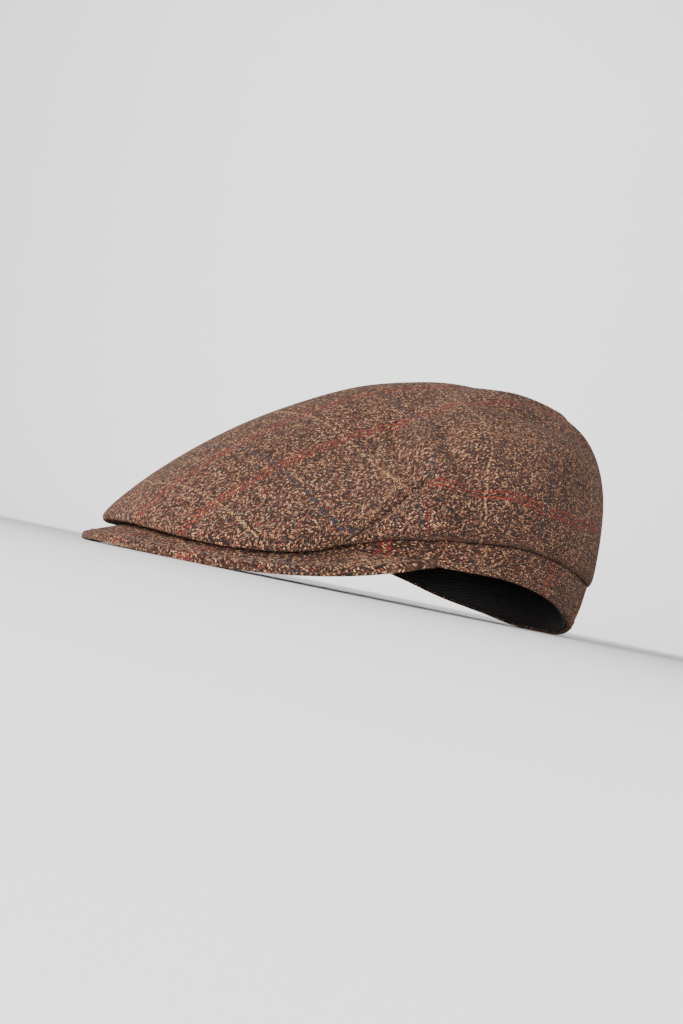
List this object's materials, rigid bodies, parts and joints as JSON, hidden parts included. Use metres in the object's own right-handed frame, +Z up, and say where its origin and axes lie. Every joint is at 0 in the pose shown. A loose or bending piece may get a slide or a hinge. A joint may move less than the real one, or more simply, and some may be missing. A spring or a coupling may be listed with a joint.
{
  "type": "flat cap",
  "caption": "Tweed flat cap with a soft crown drawn forward over a short stiff peak, a folded band, a black sweatband and lining.",
  "frame": {"origin": "on the resting surface, under the middle of the cap's box", "axes": "+Z up; the peak points to -Y and the nape to +Y; +X is the wearer's left"},
  "size_m": [0.1912, 0.2644, 0.1135],
  "materials": {
    "tweed": "brown wool tweed with tan, red-brown and grey flecks and a fine windowpane check",
    "black_ribbon": "black ribbed cotton ribbon",
    "black_lining": "plain black lining cloth with a faint sheen"
  },
  "bodies": {
    "root": {"crown": "tweed", "band": "tweed", "peak": "tweed", "sweatband": "black_ribbon", "lining": "black_lining"}
  },
  "joints": []
}
